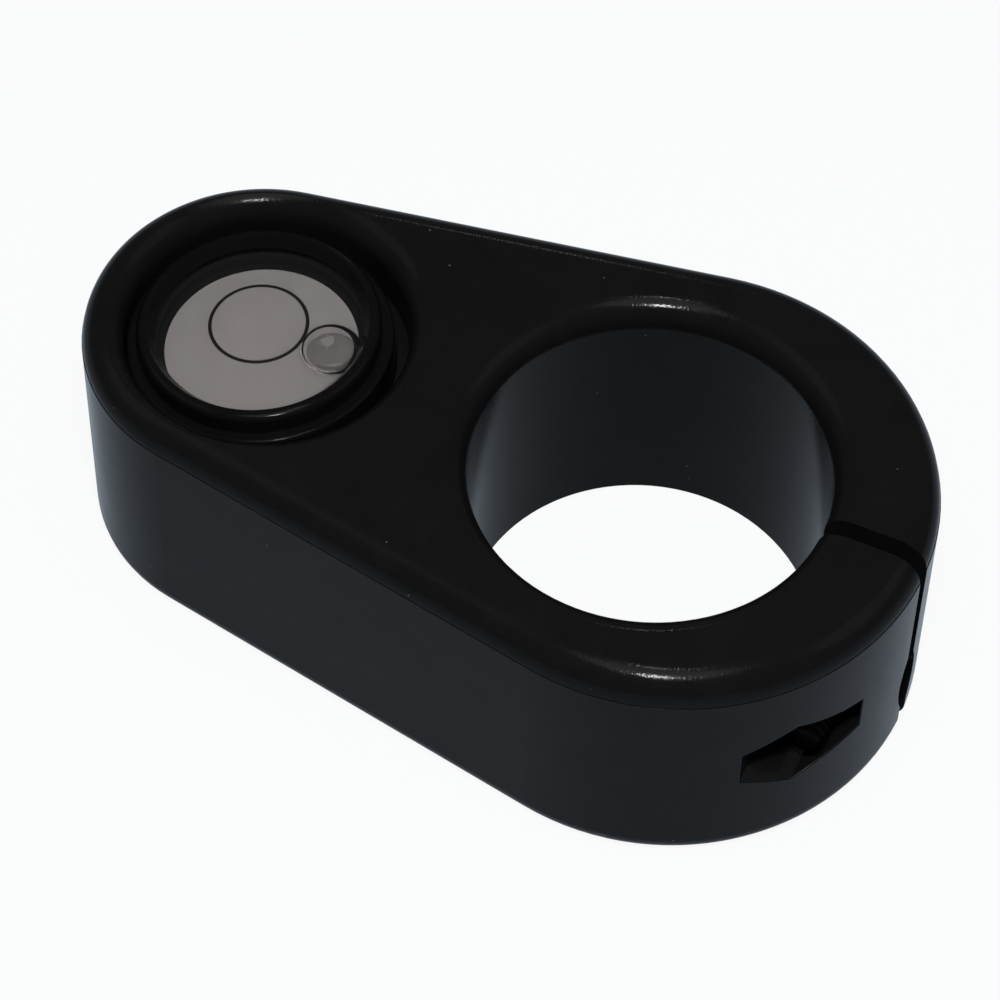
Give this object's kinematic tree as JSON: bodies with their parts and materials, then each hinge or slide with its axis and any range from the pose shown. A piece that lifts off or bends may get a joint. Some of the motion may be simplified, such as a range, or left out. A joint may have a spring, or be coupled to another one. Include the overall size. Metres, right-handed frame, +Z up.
{
  "type": "bullseye level",
  "caption": "Clamp-on bullseye level: teardrop moulded body with a split bore for a round pole and a sealed circular bubble vial in its narrow end.",
  "frame": {"origin": "on the pole bore's axis, at the flat underside", "axes": "+Z up along the bore's axis, +X from the vial towards the split, +Y towards the screw's head"},
  "size_m": [0.0791, 0.0462, 0.0267],
  "materials": {
    "black_moulding": "satin-gloss moulded black plastic",
    "black_cup": "glossy moulded black plastic",
    "clear_acrylic": "polished clear acrylic",
    "level_fluid": "clear colourless level fluid",
    "bubble_air": "air in the fluid",
    "pale_backing": "matt pale grey",
    "printed_ink": "printed dark ink",
    "black_oxide_steel": "black-oxide steel"
  },
  "bodies": {
    "root": {"clamp_body": "black_moulding", "vial_cup": "black_cup", "vial_lens": "clear_acrylic", "vial_fluid": "level_fluid", "air_bubble": "bubble_air", "backing_disc": "pale_backing", "target_circle": "printed_ink", "clamp_screw": "black_oxide_steel", "hex_nut": "black_oxide_steel"}
  },
  "joints": []
}
